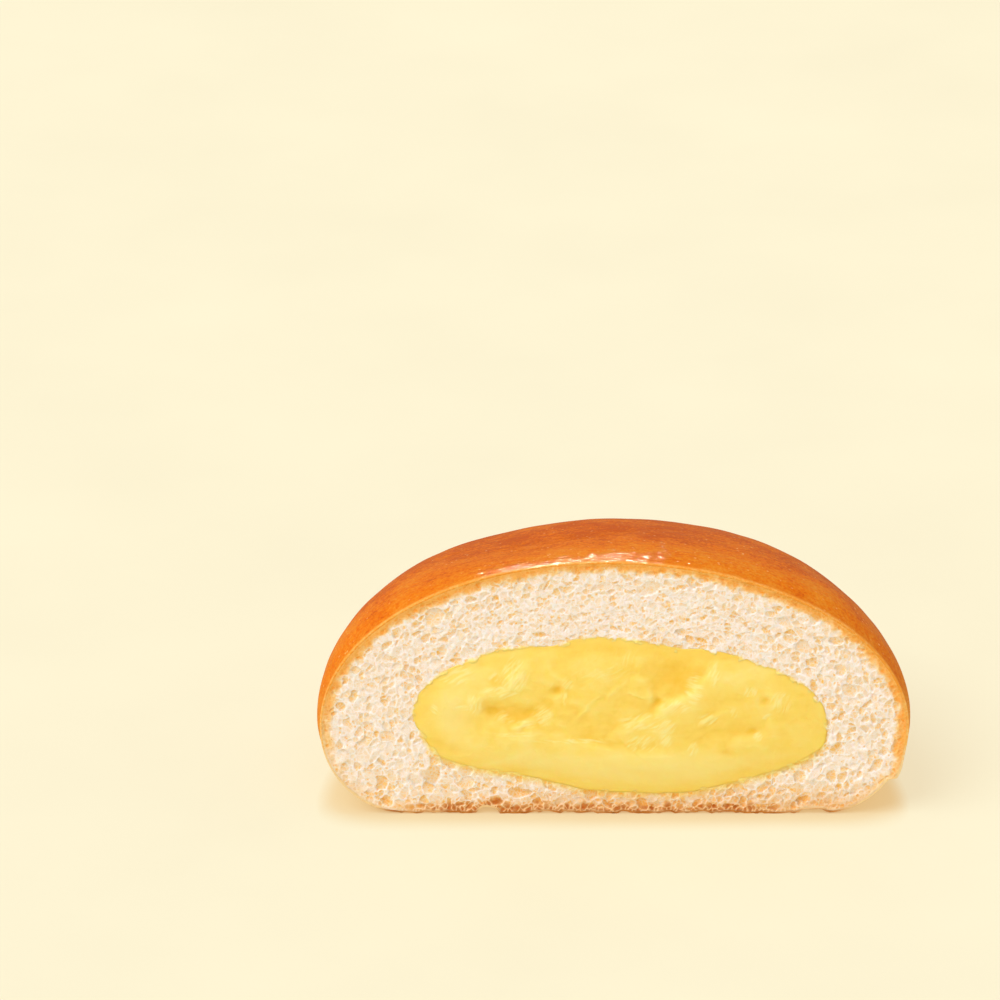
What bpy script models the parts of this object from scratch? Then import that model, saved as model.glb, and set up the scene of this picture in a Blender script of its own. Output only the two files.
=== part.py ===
"""Half of a custard-filled bun, standing on its base with the cut face forward.

Two solids in one frame: the bread, a glossy domed half bun whose sealed edge is snipped into
fingers, and the custard, which runs back from the cut face into the bread. Metres, +Z up, the cut
face looks along -Y, and the origin is at the middle of the base of the box round both solids.
"""

import math

import bmesh
import bpy
import numpy as np
from mathutils import Matrix, Vector

MM = 0.001

# The bun, in millimetres. Inside the functions the cut plane is y = 0 and the bun runs to +y.
CUT_WIDTH = 100.0
CROWN_HEIGHT = 48.0
BUN_DEPTH = 55.0
GIRTH_HEIGHT = 16.5  # the height at which the side stands out furthest
FOOT_INSET = 15.0  # the flat underside starts this far in from the girth
DEPTH_FULLNESS = 1.8  # exponent of the dome's curve from the cut to the fingertips, 2 is an ellipse
SHOULDER_DROP = 0.6  # the cut edge is lower and narrower than the dome behind it by this much
SHOULDER_REACH = 3.0
CROWN_LEAN = 0.025  # the dome is lower towards +X by this share of its rise, and higher towards -X
# Slow hills and hollows of the dome: x, y, spread and height, minus for a hollow.
DOME_HILLS = (
    (-16.0, 20.0, 15.0, -2.4),
    (-42.0, 9.0, 12.0, 0.5),
    (10.0, 22.0, 14.0, -1.1),
    (38.0, 8.0, 12.0, 0.5),
    (26.0, 36.0, 12.0, 0.5),
    (-33.0, 33.0, 11.0, 0.5),
)
HILL_START = 5.0  # the hills reach their height this far behind the cut

# Fingers along the sealed edge: angle from +X towards the back in degrees, depth of the snip in
# millimetres, and the share of the way out from the crown at which the snip begins.
SNIPS = ((39.0, 7.0, 0.86), (66.0, 8.5, 0.74), (93.0, 8.0, 0.72), (120.0, 7.0, 0.76))
SNIP_HALF_ANGLE = 13.5
SNIP_SHARPNESS = 2.2
SEAM_HEIGHT = 6.7  # the top dough laps over the bottom dough here
SEAM_LIP = 1.1
SEAM_SPREAD = 3.5
SEAM_FADE = (120.0, 140.0)  # degrees over which the sealed edge gives way to the fold

# The custard, in millimetres, x and z on the cut face.
CUSTARD_CENTRE = (0.9, 18.8)
CUSTARD_HALF_SIZE = (34.8, 14.4)
CUSTARD_DEPTH = 36.0
CUSTARD_SWELL = 1.0  # how far its cut face stands out in the middle
CUSTARD_RIM_SINK = 0.25  # and how far back its rim lies
CUSTARD_GAP = 0.3
OUTLINE_LEAN = (0.035, 140.0)  # the outline is this share longer along this angle, and shorter across it
# Dents and bulges of the outline: angle in degrees, spread in degrees, share of the radius.
OUTLINE_BUMPS = (
    (73.0, 7.0, -0.05),
    (95.0, 11.0, 0.03),
    (111.0, 6.0, -0.05),
    (123.0, 8.0, 0.025),
    (212.0, 14.0, 0.045),
    (243.0, 13.0, -0.065),
    (288.0, 11.0, 0.035),
    (334.0, 16.0, 0.04),
)
# The torn relief of its face: x, z, half length, half width, height (minus for a hollow), slant in degrees.
CUSTARD_FOLDS = (
    (-11.0, 17.0, 12.0, 2.6, 0.8, -10.0),
    (10.5, 21.5, 10.0, 2.6, 1.1, 40.0),
    (-19.0, 20.8, 6.0, 2.6, -1.2, -4.0),
    (7.5, 26.8, 6.0, 3.2, -1.4, 10.0),
    (22.0, 16.5, 5.0, 2.8, -0.8, 15.0),
    (-23.0, 27.6, 7.0, 2.4, 0.5, 25.0),
    (26.0, 24.5, 6.0, 2.6, 0.6, 40.0),
)

# Bubbles that the knife opened, in millimetres on the cut face.
BUBBLE_SEED = 7
BUBBLE_COUNT = 58
BUBBLE_RADII = (0.9, 1.6)
BUBBLE_MARGIN = 0.9  # bread left between a bubble and the crust, the custard or another bubble
BUBBLE_OUT = 0.25  # share of a bubble's radius by which its middle lies in front of the cut
# The largest ones: x, z and radius.
NAMED_BUBBLES = (
    (-30.7, 37.6, 1.6),
    (-16.1, 3.9, 1.3),
    (-31.0, 7.8, 1.5),
    (-38.6, 14.5, 1.2),
    (11.5, 35.0, 1.2),
    (39.5, 23.9, 1.3),
    (31.5, 32.4, 1.4),
)
# Places where the underside lifts off the table at the cut: x, half width and height.
BASE_ARCHES = ((34.0, 4.5, 0.9), (-21.3, 4.0, 0.8))
BASE_ARCH_DEPTH = 7.0

COLUMN_STEP = 3.0  # degrees between the columns of the shell
DOME_RINGS = 18
HEEL_RINGS = 8
UNDERSIDE_SHARES = (0.8, 0.5, 0.2)
CUSTARD_COLUMNS = 76
CUSTARD_FRONT_RINGS = 16
CUSTARD_BACK_RINGS = 8
CUTTER_STAND_OUT = 3.0  # how far the hollow's cutter stands out of the cut

CRUST_COLOUR = (0.62, 0.21, 0.035, 1.0)
CRUST_ROUGHNESS = 0.3
CUSTARD_COLOUR = (0.95, 0.66, 0.11, 1.0)
CUSTARD_ROUGHNESS = 0.35
SHARP_EDGE = 50.0

# Half the bun's width and its rise above the girth, just behind the cut edge.
HALF_WIDTH = CUT_WIDTH / 2.0 + SHOULDER_DROP
DOME_HEIGHT = CROWN_HEIGHT + SHOULDER_DROP - GIRTH_HEIGHT
FOOT_SHARE = 1.0 - FOOT_INSET / HALF_WIDTH


def smooth_step(low, high, value):
    share = min(max((value - low) / (high - low), 0.0), 1.0)
    return share * share * (3.0 - 2.0 * share)


def profile():
    """The bun's side line from the crown to near the middle of the underside, as pairs: the share
    of the plan's radius, and the turn of the outward direction, 90 degrees up to 90 degrees down."""
    dome = [90.0 * (1.0 - ring / DOME_RINGS) for ring in range(1, DOME_RINGS + 1)]
    heel = [-90.0 * ring / HEEL_RINGS for ring in range(1, HEEL_RINGS + 1)]
    at_seam = math.degrees(math.asin(SEAM_HEIGHT / GIRTH_HEIGHT - 1.0))
    heel += [at_seam + 0.6, at_seam - 0.8]
    side = [(math.cos(math.radians(turn)), turn) for turn in dome]
    for turn in sorted(heel, reverse=True):
        side.append((FOOT_SHARE + (1.0 - FOOT_SHARE) * math.cos(math.radians(turn)), turn))
    return side + [(FOOT_SHARE * share, -90.0) for share in UNDERSIDE_SHARES]


def snip_depth(angle, share, turn):
    """How far the nearest snip draws the surface in."""
    depth = 0.0
    for snip_angle, deepest, start in SNIPS:
        nearness = max(0.0, 1.0 - abs(angle - snip_angle) / SNIP_HALF_ANGLE)
        reach = smooth_step(start, 0.99, share) if turn >= 0.0 else 1.0
        depth += deepest * reach * nearness**SNIP_SHARPNESS
    under = smooth_step(0.35 * FOOT_SHARE, FOOT_SHARE, share) if turn <= -90.0 else 1.0
    return depth * under


def seam_step(angle, height):
    """The lap along the sealed edge: the surface stands out above the seam and steps in below it."""
    sealed = 1.0 - smooth_step(*SEAM_FADE, angle)
    lap = SEAM_LIP * math.exp(-(((height - SEAM_HEIGHT) / SEAM_SPREAD) ** 2))
    return sealed * (lap if height > SEAM_HEIGHT else -0.15 * lap)


def unevenness(x, y, z):
    """Sum of the dome's hills, none at the cut face or low on the side."""
    total = 0.0
    for hill_x, hill_y, spread, height in DOME_HILLS:
        total += height * math.exp(-((x - hill_x) ** 2 + (y - hill_y) ** 2) / spread**2)
    return total * smooth_step(0.0, HILL_START, y) * smooth_step(4.0, 16.0, z)


def bun_point(angle, share, turn):
    """A point of the bun's outside, angle in degrees from +X round the back to -X."""
    a, t = math.radians(angle), math.radians(turn)
    across, back = share * math.cos(a), share * math.sin(a)
    if turn > 0.0:
        fullness = 2.0 + (DEPTH_FULLNESS - 2.0) * math.sin(a) ** 2
        rise = (1.0 - share**fullness) ** (1.0 / fullness) * (1.0 - CROWN_LEAN * across)
        height = GIRTH_HEIGHT + DOME_HEIGHT * rise
    else:
        height = GIRTH_HEIGHT * (1.0 + math.sin(t))
    point = Vector((across * HALF_WIDTH, back * BUN_DEPTH, height))
    level = math.cos(t) if turn > 0.0 else 1.0
    outward = Vector((math.cos(a) * level, math.sin(a) * level, max(math.sin(t), 0.0)))
    push = unevenness(*point) - snip_depth(angle, share, turn)
    if -90.0 < turn < 0.0:
        push += seam_step(angle, height)
    point += outward * push
    roll = SHOULDER_DROP * math.exp(-((point.y / SHOULDER_REACH) ** 2))
    return Vector((point.x - outward.x * roll, max(point.y, 0.0), point.z - outward.z * roll))


def bun_mesh():
    """The half bun without its hollows, closed by the flat cut face."""
    bm = bmesh.new()
    angles = [0.0, 1.0, *np.arange(COLUMN_STEP, 180.0, COLUMN_STEP), 179.0, 180.0]
    crown = bm.verts.new((0.0, 0.0, CROWN_HEIGHT))
    rings = [[bm.verts.new(bun_point(angle, *side)) for angle in angles] for side in profile()]
    middle = bm.verts.new((0.0, 0.0, 0.0))
    for right in range(len(angles) - 1):
        left = right + 1
        bm.faces.new((crown, rings[0][right], rings[0][left]))
        bm.faces.new((middle, rings[-1][left], rings[-1][right]))
        for upper, lower in zip(rings, rings[1:]):
            bm.faces.new((upper[right], lower[right], lower[left], upper[left]))
    right_edge = [ring[0] for ring in rings]
    left_edge = [ring[-1] for ring in rings]
    bm.faces.new([crown, *left_edge, middle, *reversed(right_edge)])
    return bm


def outline_radius(turn):
    """Radius of the custard's outline on the cut face, as a share of its half size."""
    lean, lean_angle = OUTLINE_LEAN
    radius = 0.985 + lean * math.cos(2.0 * (turn - math.radians(lean_angle)))
    for angle, spread, height in OUTLINE_BUMPS:
        off = math.remainder(math.degrees(turn) - angle, 360.0)
        radius += height * math.exp(-((off / spread) ** 2))
    return radius


def fold_height(x, z):
    """Relief of the custard's torn face, plus is out of the cut."""
    total = 0.0
    for fold_x, fold_z, half_length, half_width, height, slant in CUSTARD_FOLDS:
        cos, sin = math.cos(math.radians(slant)), math.sin(math.radians(slant))
        along = (x - fold_x) * cos + (z - fold_z) * sin
        aside = (z - fold_z) * cos - (x - fold_x) * sin
        total += height * math.exp(-((along / half_length) ** 2) - (aside / half_width) ** 2)
    return total


def custard_point(turn, share, depth, grow=0.0):
    """A point at a share of the custard's outline, grow outside it, at a depth behind the cut."""
    radius = outline_radius(turn) * share
    x = CUSTARD_CENTRE[0] + (CUSTARD_HALF_SIZE[0] * radius + grow) * math.cos(turn)
    z = CUSTARD_CENTRE[1] + (CUSTARD_HALF_SIZE[1] * radius + grow) * math.sin(turn)
    return Vector((x, depth, z))


def custard_face_point(turn, share):
    """A point on the torn face of the custard."""
    point = custard_point(turn, share, 0.0)
    swell = CUSTARD_SWELL * (1.0 - share**3)
    folds = fold_height(point.x, point.z) * (1.0 - share**6)
    point.y = CUSTARD_RIM_SINK - swell - folds
    return point


def column_turns():
    """Angles of the custard's columns round its middle, anticlockwise as seen at the cut."""
    return [2.0 * math.pi * column / CUSTARD_COLUMNS for column in range(CUSTARD_COLUMNS)]


def close_body(bm, front, rows, grow):
    """Adds the rounded back behind the front rows, and joins the rows and both middles."""
    for ring in range(1, CUSTARD_BACK_RINGS):
        fall = 0.5 * math.pi * ring / CUSTARD_BACK_RINGS
        depth = (CUSTARD_DEPTH + grow) * math.sin(fall)
        points = [custard_point(turn, math.cos(fall), depth, grow) for turn in column_turns()]
        rows.append([bm.verts.new(point) for point in points])
    back = bm.verts.new((CUSTARD_CENTRE[0], CUSTARD_DEPTH + grow, CUSTARD_CENTRE[1]))
    for here in range(CUSTARD_COLUMNS):
        there = (here + 1) % CUSTARD_COLUMNS
        bm.faces.new((front, rows[0][here], rows[0][there]))
        bm.faces.new((back, rows[-1][there], rows[-1][here]))
        for near, far in zip(rows, rows[1:]):
            bm.faces.new((near[here], far[here], far[there], near[there]))


def custard_mesh():
    """The custard, torn at the cut face and rounded inside the bread."""
    bm = bmesh.new()
    front = bm.verts.new(custard_face_point(0.0, 0.0))
    shares = [ring / CUSTARD_FRONT_RINGS for ring in range(1, CUSTARD_FRONT_RINGS + 1)]
    rows = [[bm.verts.new(custard_face_point(turn, share)) for turn in column_turns()] for share in shares]
    close_body(bm, front, rows, 0.0)
    return bm


def hollow_mesh():
    """The cutter of the bread's hollow: the custard with a gap round it, standing out of the cut."""
    bm = bmesh.new()
    front = bm.verts.new((CUSTARD_CENTRE[0], -CUTTER_STAND_OUT, CUSTARD_CENTRE[1]))
    rows = []
    for depth in (-CUTTER_STAND_OUT, CUSTARD_RIM_SINK):
        points = [custard_point(turn, 1.0, depth, CUSTARD_GAP) for turn in column_turns()]
        rows.append([bm.verts.new(point) for point in points])
    close_body(bm, front, rows, CUSTARD_GAP)
    return bm


def in_crumb(x, z, radius):
    """Whether a bubble of this radius fits between the crust and the custard."""
    margin = radius + BUBBLE_MARGIN
    lift = DOME_HEIGHT if z > GIRTH_HEIGHT else GIRTH_HEIGHT
    out = math.hypot(x / HALF_WIDTH, (z - GIRTH_HEIGHT) / lift)
    if out > 1.0 - margin / min(lift, 22.0) or z < margin:
        return False
    across, up = x - CUSTARD_CENTRE[0], z - CUSTARD_CENTRE[1]
    half_wide, half_high = CUSTARD_HALF_SIZE[0] + margin, CUSTARD_HALF_SIZE[1] + margin
    return math.hypot(across / half_wide, up / half_high) > 1.04


def crumb_bubbles():
    """The bubbles that the knife opened, as (x, z, radius): the named ones, then a seeded scatter."""
    rng = np.random.default_rng(BUBBLE_SEED)
    bubbles = list(NAMED_BUBBLES)
    smallest, largest = BUBBLE_RADII
    while len(bubbles) < BUBBLE_COUNT:
        x, z = rng.uniform(-HALF_WIDTH, HALF_WIDTH), rng.uniform(0.0, CROWN_HEIGHT)
        radius = smallest + (largest - smallest) * rng.random() ** 2
        clear = all(math.hypot(x - bx, z - bz) > radius + br + BUBBLE_MARGIN for bx, bz, br in bubbles)
        if clear and in_crumb(x, z, radius):
            bubbles.append((x, z, radius))
    return bubbles


def bubbles_mesh():
    """A small faceted ball, longer one way than the other, for each opened bubble and base arch."""
    bm = bmesh.new()
    rng = np.random.default_rng(BUBBLE_SEED)
    for x, z, radius in crumb_bubbles():
        place = Matrix.Translation((x, -BUBBLE_OUT * radius, z))
        turn = Matrix.Rotation(rng.uniform(0.0, math.pi), 4, "Y")
        stretch = Matrix.Diagonal((1.0, 1.0, rng.uniform(0.65, 1.0), 1.0))
        bmesh.ops.create_icosphere(bm, subdivisions=2, radius=radius, matrix=place @ turn @ stretch)
    for x, half_width, height in BASE_ARCHES:
        place = Matrix.Translation((x, 0.0, -height)) @ Matrix.Rotation(0.1, 4, "Z")
        stretch = Matrix.Diagonal((half_width * 1.15, BASE_ARCH_DEPTH, 2.0 * height, 1.0))
        bmesh.ops.create_icosphere(bm, subdivisions=2, radius=1.0, matrix=place @ stretch)
    return bm


def add_object(name, bm, material=None):
    """The mesh as a named object, in metres."""
    bmesh.ops.recalc_face_normals(bm, faces=bm.faces)
    bmesh.ops.scale(bm, vec=(MM, MM, MM), verts=bm.verts)
    mesh = bpy.data.meshes.new(name)
    bm.to_mesh(mesh)
    bm.free()
    mesh.shade_smooth()
    mesh.set_sharp_from_angle(angle=math.radians(SHARP_EDGE))
    obj = bpy.data.objects.new(name, mesh)
    bpy.context.scene.collection.objects.link(obj)
    if material:
        mesh.materials.append(material)
    return obj


def add_material(name, colour, roughness):
    material = bpy.data.materials.new(name)
    material.use_nodes = True
    surface = material.node_tree.nodes["Principled BSDF"]
    surface.inputs["Base Color"].default_value = colour
    surface.inputs["Roughness"].default_value = roughness
    surface.inputs["Metallic"].default_value = 0.0
    return material


def add_cutter(name, bm, target):
    """A helper that a Boolean takes out of the target."""
    cutter = add_object(name, bm)
    cutter.hide_render = True
    cutter.display_type = "WIRE"
    cut = target.modifiers.new(name, "BOOLEAN")
    cut.operation = "DIFFERENCE"
    cut.solver = "EXACT"
    cut.object = cutter
    return cutter


def centre_on_base(shown, cutters):
    """Moves every object alike, so that the origin is the middle of the bottom of the shown ones' box."""
    corners = np.array([vertex.co for obj in shown for vertex in obj.data.vertices])
    low, high = corners.min(axis=0), corners.max(axis=0)
    shift = Vector((-(low[0] + high[0]) / 2.0, -(low[1] + high[1]) / 2.0, -low[2]))
    for obj in shown + cutters:
        obj.location = shift


def main():
    for obj in list(bpy.data.objects):
        bpy.data.objects.remove(obj)
    bread = add_object("bread", bun_mesh(), add_material("crust", CRUST_COLOUR, CRUST_ROUGHNESS))
    filling = add_material("custard", CUSTARD_COLOUR, CUSTARD_ROUGHNESS)
    custard = add_object("custard", custard_mesh(), filling)
    hollow = add_cutter("custard_hollow", hollow_mesh(), bread)
    bubbles = add_cutter("opened_bubbles", bubbles_mesh(), bread)
    centre_on_base([bread, custard], [hollow, bubbles])


main()
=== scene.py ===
import itertools
import math

import bmesh
import bpy
import numpy as np
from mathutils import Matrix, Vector


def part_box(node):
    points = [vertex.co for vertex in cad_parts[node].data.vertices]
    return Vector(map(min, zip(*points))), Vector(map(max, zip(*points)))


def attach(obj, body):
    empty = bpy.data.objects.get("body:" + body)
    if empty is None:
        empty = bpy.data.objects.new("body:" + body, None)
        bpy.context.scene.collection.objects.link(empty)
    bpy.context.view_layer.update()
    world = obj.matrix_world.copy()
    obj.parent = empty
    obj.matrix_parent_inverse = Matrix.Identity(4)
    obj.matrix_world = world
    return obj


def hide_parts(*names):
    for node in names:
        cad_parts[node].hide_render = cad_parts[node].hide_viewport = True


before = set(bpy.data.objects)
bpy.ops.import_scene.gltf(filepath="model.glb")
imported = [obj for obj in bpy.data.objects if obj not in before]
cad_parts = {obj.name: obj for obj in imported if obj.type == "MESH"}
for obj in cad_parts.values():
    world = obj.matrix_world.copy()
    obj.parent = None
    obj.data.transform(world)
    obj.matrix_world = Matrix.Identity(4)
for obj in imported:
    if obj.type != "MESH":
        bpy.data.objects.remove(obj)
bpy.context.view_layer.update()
scene = bpy.context.scene
mm = 0.001

# Lengths are in millimetres in the bun's own space: the cut is y = 0 and the bun runs to +y.
bun = {
    "cutWidth": 100,
    "crownHeight": 48,
    "depth": 55,
    "girthHeight": 16.5,
    "footInset": 15,
    "depthFullness": 1.8,
    "shoulderDrop": 0.6,
    "shoulderReach": 3,
    "crownLean": 0.025,
    "hills": (  # x, y, spread, height
        (-16, 20, 15, -2.4), (-42, 9, 12, 0.5), (10, 22, 14, -1.1), (38, 8, 12, 0.5), (26, 36, 12, 0.5),
        (-33, 33, 11, 0.5),
    ),
    "hillStart": 5,  # how far behind the cut the hills have their height
    "hillRise": (4, 16),
    "snips": ((39, 7, 0.86), (66, 8.5, 0.74), (93, 8, 0.72), (120, 7, 0.76)),
    "snipHalfAngle": 13.5,
    "snipSharpness": 2.2,
    "snipEnd": 0.99,
    "snipUnder": 0.35,  # share of the foot's radius at which a snip ends under the bun
    "creaseDepth": 7.5,  # a snip this deep keeps the dough quite pale
    "seamHeight": 6.7,
    "seamLip": 1.1,
    "seamUndercut": 0.15,
    "seamSpread": 3.5,
    "seamFade": (120, 140),
    "seamRings": (0.6, -0.8),  # degrees above and below the seam of the rings that make its step
    "seamClear": 1.6,  # and no other ring is this near
    "baseArches": ((34.2, 2.3, 0.85), (-21.4, 1.9, 1.1)),  # x, half width, height
    "archDepth": 7,
    "tornLift": 0.12,  # how far the torn lower edge stands off the floor, apart from its waves
    "tornReach": ((0.5, 2.6), (0.3, 2.2), (34, 40)),  # where that fades out: behind, above, aside
    "raggedBase": ((1.9, 0.3), (0.7, 0.16)),  # size and height of the torn lower edge's waves
    "ripples": ((9, 0.16), (3.5, 0.05)),  # size and height of the skin's slow waves
    "rippleStart": ((1, 8), (0, 5)),  # where they rise, behind the cut and above the floor
    "lip": (  # the cut edge's way in: inset, depth, roughness
        (0.07, -0.015, 0), (0.28, 0, 0.004), (0.5, 0.03, 0.01), (0.62, 0.3, 0.02), (0.75, 0.9, 0),
        (0.85, 2.5, 0),
    ),
    "lipWaves": (0.9, 0.6),  # size of its unevenness, and the share of that which goes inward
    "baking": (  # a brown's weight, the heights between which it comes in, and how far behind the cut
        (0.66, (2, 26), (-2, -1)),
        (0.22, (6, 30), (0, 20)),
        (0.1, (3, 8), (4, 30)),
    ),
    "foldPaleness": (0.42, (0.25, 0.9)),  # how much less brown the folds are, and how deep in them
    "cutEdgeReach": 0.7,
    "undersideEnd": (0.15, 1.6),  # the heights between which the browned underside ends
    "undersideWaves": (2.5, 0.5),  # size and height of that border's waves
    "columns": 250,
    "domeRings": 104,
    "heelRings": 36,
    "underRings": 96,
}
halfWidth = bun["cutWidth"] / 2.0 + bun["shoulderDrop"]
domeHeight = bun["crownHeight"] + bun["shoulderDrop"] - bun["girthHeight"]
footShare = 1.0 - bun["footInset"] / halfWidth

filling = {
    "centre": (0.9, 18.8),
    "halfSize": (34.8, 14.4),
    "fill": 0.985,  # the share of that size that the outline has, apart from its lean and bumps
    "depth": 36,
    "gap": 0.3,
    "swell": 1,
    "rimSink": 0.02,
    "lean": (0.035, 140),  # how much longer the outline is, and in which direction
    "bumps": (  # angle, spread, share of the radius
        (73, 7, -0.05), (95, 11, 0.03), (111, 6, -0.05), (123, 8, 0.025), (212, 14, 0.045),
        (243, 13, -0.065), (288, 11, 0.035), (334, 16, 0.04),
    ),
    "ledges": (  # points, lift, edge width, reach: the right-hand side of the line stands out
        (((-22.4, 18.7), (-20.3, 17.1), (-18.7, 16.5), (-17.1, 15.8), (-15.4, 15.8), (-13.2, 16.2),
          (-9.7, 15.6), (-7.7, 15), (-5.8, 14.1), (-1.8, 13.1), (3.7, 12.5), (10.3, 12.5),
          (16, 13)), 0.36, 1.2, 6),
        (((-1.5, 13.6), (-0.1, 15.7), (2, 17.4), (4.7, 18.6), (6.5, 19.7), (7.7, 20.7), (9.6, 22.4),
          (12.1, 22.9), (13.8, 24.7), (14.8, 26.5), (16.4, 28.3), (17.9, 30), (19.4, 32.4)), 0.5, 1.3, 5),
        (((3, 27.6), (5.2, 26.4), (6.2, 25), (6.2, 23.5), (6.8, 22), (5, 20.9)), 0.35, 0.8, 3.6),
        (((18.6, 14.6), (22.4, 14.9), (25.4, 16.6), (26.4, 19.4)), 0.22, 1, 3),
    ),
    "ridges": (  # points, height, half width
        (((-25, 19.2), (-24.2, 20.7), (-22.7, 22.8), (-21, 23.5), (-19.3, 23.3), (-18.3, 24.1),
          (-17.6, 25.1), (-15.7, 27.2), (-15, 29.4), (-14, 31.4)), 0.4, 1.1),
        (((-23.4, 19.6), (-22.4, 18.7), (-20.3, 17.1), (-18.7, 16.5), (-17.1, 15.8), (-15.4, 15.8),
          (-13.2, 16.2), (-9.7, 15.6), (-5.8, 14.1), (-1.8, 13.1), (3.7, 12.5)), 0.08, 0.6),
        (((-18.4, 16.9), (-17.2, 17.3), (-16.2, 17.2), (-15.2, 18), (-14.2, 18.5),
          (-12.6, 18.4)), 0.22, 0.5),
        (((-10.6, 21.2), (-9.1, 23.3), (-8.2, 24.9), (-8.7, 26.2), (-11.2, 27.9)), 0.22, 0.7),
        (((-2, 24), (-2.6, 23.3), (-4.6, 21.5), (-5, 20.5), (-6.8, 18.8)), 0.12, 0.4),
        (((-1.2, 13.4), (0.2, 15.5), (2.2, 17.1), (4.9, 18.3), (6.7, 19.4), (8, 20.3), (9.9, 21.9),
          (12.4, 22.6), (14.1, 24.5), (15.1, 26.3), (16.7, 28.1), (18.2, 29.8)), 0.14, 0.9),
        (((13.6, 16.6), (14.9, 17.8), (16, 19), (18.2, 19.9), (20.6, 20.6)), 0.14, 0.5),
        (((2.4, 26.2), (0.6, 24.8), (-1.4, 22.8)), 0.12, 0.5),
    ),
    "swells": (  # x, z, half length, half width, height, slant
        (10.6, 26.4, 5.2, 3.8, -0.9, 12), (-17.6, 19.8, 4.6, 1.9, -0.7, -4),
        (-9.4, 24, 2.2, 1.8, -0.3, 0), (-12, 21.4, 3.6, 2.4, -0.25, 10), (-3.4, 32.2, 6.5, 1.3, -0.4, -3),
        (21.6, 16.9, 3.6, 1.9, -0.4, 10), (4, 7.9, 5, 1.3, -0.25, -6), (22.5, 8.6, 3.4, 1.8, -0.25, 20),
        (-28, 24.2, 5, 3.4, 0.3, 30), (24, 25.6, 7, 3.6, 0.35, -10), (-8, 10.6, 16, 3.2, 0.3, -8),
        (14, 9, 12, 3.4, 0.3, 5), (-4, 27.6, 7, 2.4, 0.25, 5), (8.6, 17.2, 2.2, 1.6, 0.25, 30),
    ),
    "pits": (  # x, z, radius, depth
        (-22.6, 28.8, 0.8, 0.4), (-20.8, 20, 1.3, 0.5), (-14, 20.2, 1.3, 0.3), (-9.7, 24.1, 0.85, 0.4),
        (7.2, 22.1, 0.85, 0.45), (25.5, 22.1, 0.8, 0.42), (31.8, 23.1, 0.6, 0.3), (23.4, 16.2, 0.9, 0.3),
        (18.6, 29.9, 0.6, 0.2), (-27.6, 12.8, 0.8, 0.12),
    ),
    "strokes": (  # patches of fine torn wrinkles: x, z, half width, half height, direction, strength
        (-26.9, 26.8, 3, 1.7, 30, 1), (-17.1, 26.8, 2.3, 3.2, 55, 1), (-19.3, 23.9, 3.2, 1.2, 25, 0.9),
        (-23.7, 21.4, 1.3, 1.9, 65, 0.9), (-20.5, 26.6, 1, 1, 45, 0.8), (-18.9, 19, 1.7, 1.2, 30, 0.6),
        (-15.5, 17.8, 2.8, 0.7, 15, 1), (-16.7, 15.9, 3.4, 0.45, -5, 1), (-12.1, 19.3, 1.7, 1.8, 30, 0.9),
        (-8.6, 22.8, 0.6, 1.3, 70, 0.9), (-8.1, 25.4, 1.1, 1.3, 50, 0.7), (-2.3, 27.7, 6.5, 3, 30, 0.4),
        (-25.4, 20.9, 2.6, 0.9, 15, 0.55), (-30.6, 20.3, 0.9, 1.3, -40, 0.7),
        (13.5, 24.3, 1.4, 2.6, -12, 1.1), (16.7, 27.2, 1.1, 2.2, 65, 0.9), (5.3, 18.2, 4.2, 1.6, 28, 1),
        (8.7, 17.4, 1.6, 1.4, 30, 1.2), (3.3, 14.2, 1.2, 1.4, 48, 1.1), (5.6, 14.3, 1.5, 1.5, 48, 1.1),
        (8.6, 15, 1.2, 1.7, 60, 0.8), (13.3, 13.1, 0.9, 1.4, 55, 1), (10.4, 21.2, 3, 1.6, 40, 0.7),
        (15.9, 18.6, 2, 1.3, 45, 0.8), (20.3, 19.9, 0.7, 1.1, 60, 0.9), (23, 23.7, 1.3, 1.1, 60, 0.9),
        (28.1, 21.6, 1.7, 1.8, 60, 1.2), (25.7, 19, 1.3, 0.8, 45, 0.7), (24.4, 15.3, 0.9, 0.8, 40, 1),
        (2, 30.2, 2.5, 2.4, 65, 0.4), (-7, 14.6, 7, 0.5, -12, 0.8),
    ),
    "wander": ((2.4, 0.25), (0.9, 0.15)),  # size and height of the ledges' and ridges' bends
    "ragged": 0.007,  # how uneven the rim is, as share of the radius
    "skirt": (  # the rim's way back into the bread: growth, depth, share of the outline
        (0.25, 0.03, 1), (0.5, 0.08, 1), (0.56, 0.5, 1), (0.5, 1, 1), (0.3, 2.3, 1),
    ),
    "columns": 410,
    "rows": 172,
    "backRings": 8,
    "boldness": 0.6,  # how much of the relief's height is used
    "smoothings": 40,  # the painted shade and light follow the relief less its smoothed form
}

centreX, centreZ = filling["centre"]
halfX, halfZ = filling["halfSize"]

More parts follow.
